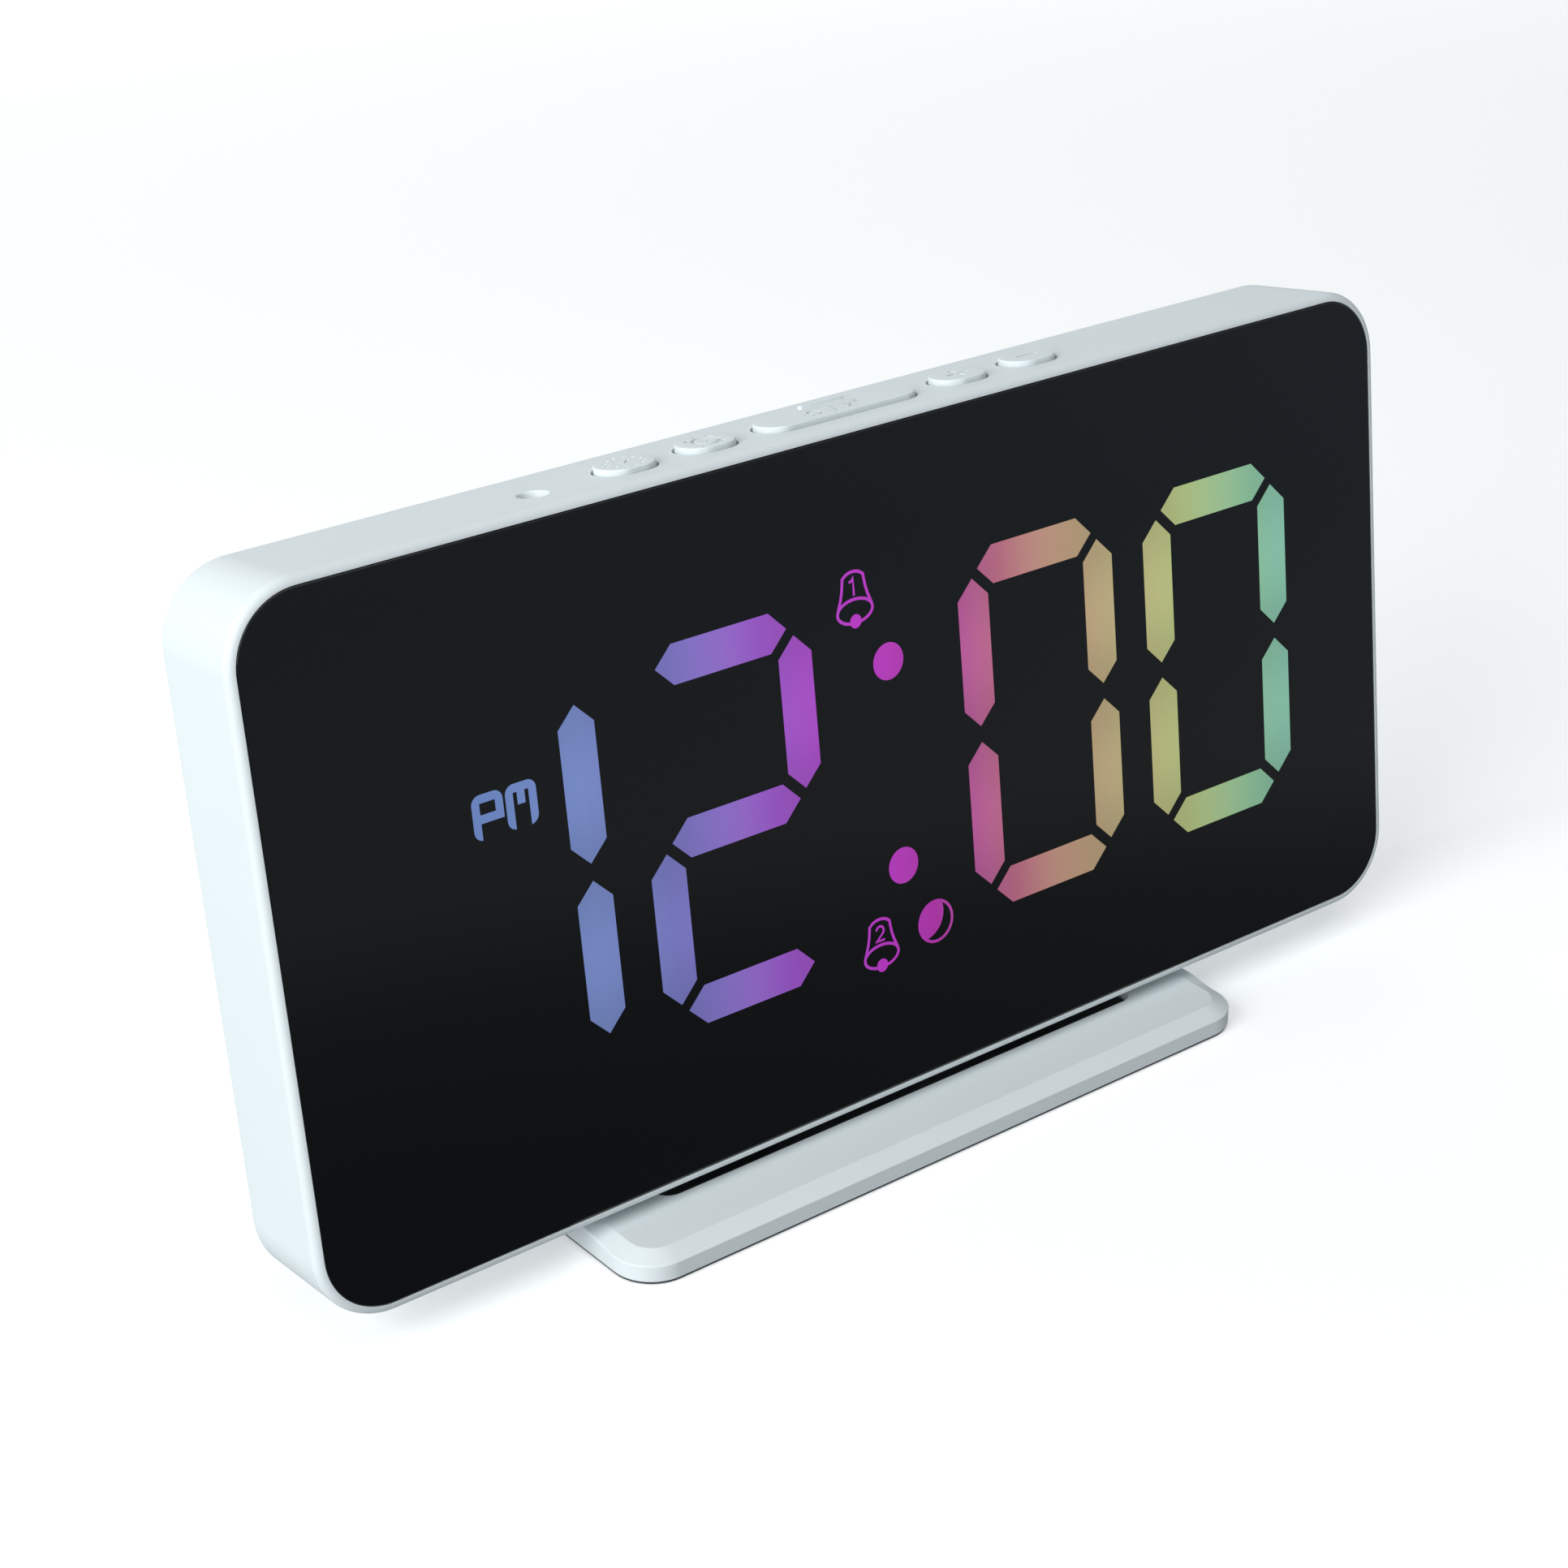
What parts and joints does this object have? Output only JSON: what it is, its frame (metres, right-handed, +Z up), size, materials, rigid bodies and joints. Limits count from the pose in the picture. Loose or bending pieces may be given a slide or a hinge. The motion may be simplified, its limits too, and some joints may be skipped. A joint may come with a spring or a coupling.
{
  "type": "alarm clock",
  "caption": "Slim digital desk alarm clock: thin white case with a full dark window and large colour segment digits, top buttons, tilting on a low weighted foot.",
  "frame": {"origin": "on the ground under the middle of the clock's bounding box", "axes": "+Z up, -Y towards the viewer, so the display faces -Y; +X to the viewer's right, along the case's width"},
  "size_m": [0.19, 0.044, 0.0998],
  "materials": {
    "white_shell": "cool white moulded ABS, fine satin texture",
    "window": "near-black tinted acrylic, polished",
    "mask": "matt black",
    "diffuser": "translucent milky white; lit in colour behind the window",
    "circuit_board": "green solder mask on glass epoxy",
    "black_plastic": "satin black moulding",
    "dark_base": "dark grey moulding",
    "steel": "zinc-plated steel",
    "brass": "plain",
    "rubber": "matt black"
  },
  "bodies": {
    "foot": {"foot_shell": "white_shell", "base_plate": "dark_base", "front_ballast": "steel", "rear_ballast": "steel", "foot_pad_1": "rubber", "foot_pad_2": "rubber", "foot_pad_3": "rubber", "foot_pad_4": "rubber", "base_screw_1": "steel", "base_screw_2": "steel", "base_screw_3": "steel", "base_screw_4": "steel", "tilt_neck": "black_plastic", "left_neck_screw": "steel", "right_neck_screw": "steel"},
    "case": {"front_housing": "white_shell", "front_window": "window", "segment_mask": "mask", "diffuser_film": "diffuser", "display_board": "circuit_board", "control_board": "circuit_board", "button_board": "circuit_board", "clock_set_switch": "black_plastic", "alarm_set_switch": "black_plastic", "snooze_dimmer_switch": "black_plastic", "plus_switch": "black_plastic", "minus_switch": "black_plastic", "sensor_lens": "diffuser", "light_sensor": "diffuser", "rear_cover": "white_shell", "rear_screw_1": "steel", "rear_screw_2": "steel", "rear_screw_3": "steel", "rear_screw_4": "steel", "battery_holder": "black_plastic", "coin_cell": "steel", "power_jack": "black_plastic", "mode_switch_body": "steel", "buzzer": "black_plastic", "left_hinge_pin": "steel", "right_hinge_pin": "steel", "left_friction_washer": "steel", "right_friction_washer": "steel", "left_hinge_nut": "brass", "right_hinge_nut": "brass"},
    "clock_set_key": {"clock_set_button": "white_shell"},
    "alarm_set_key": {"alarm_set_button": "white_shell"},
    "snooze_dimmer_key": {"snooze_dimmer_button": "white_shell"},
    "plus_key": {"plus_button": "white_shell"},
    "minus_key": {"minus_button": "white_shell"},
    "mode_slider": {"mode_switch_knob": "black_plastic"},
    "battery_lid": {"battery_door": "white_shell"}
  },
  "joints": [
    {"name": "tilt", "type": "hinge", "parent": "foot", "child": "case", "pos_m": [0, -0.00305, 0.01107], "axis": [1, 0, 0], "range_deg": [-7.3, 7.6]},
    {"name": "clock_set_press", "type": "slide", "parent": "case", "child": "clock_set_key", "axis": [0, -0.1328, -0.9911], "range_m": [0, 0.0005], "stiffness_N_per_m": 1500},
    {"name": "alarm_set_press", "type": "slide", "parent": "case", "child": "alarm_set_key", "axis": [0, -0.1328, -0.9911], "range_m": [0, 0.0005], "stiffness_N_per_m": 1500},
    {"name": "snooze_dimmer_press", "type": "slide", "parent": "case", "child": "snooze_dimmer_key", "axis": [0, -0.1328, -0.9911], "range_m": [0, 0.0005], "stiffness_N_per_m": 1500},
    {"name": "plus_press", "type": "slide", "parent": "case", "child": "plus_key", "axis": [0, -0.1328, -0.9911], "range_m": [0, 0.0005], "stiffness_N_per_m": 1500},
    {"name": "minus_press", "type": "slide", "parent": "case", "child": "minus_key", "axis": [0, -0.1328, -0.9911], "range_m": [0, 0.0005], "stiffness_N_per_m": 1500},
    {"name": "mode_slide", "type": "slide", "parent": "case", "child": "mode_slider", "axis": [1, 0, 0], "range_m": [0, 0.002]},
    {"name": "battery_door_turn", "type": "hinge", "parent": "case", "child": "battery_lid", "pos_m": [-0.038, 0.00975, 0.05274], "axis": [0, 0.9911, -0.1328], "range_deg": [0, 45]}
  ]
}
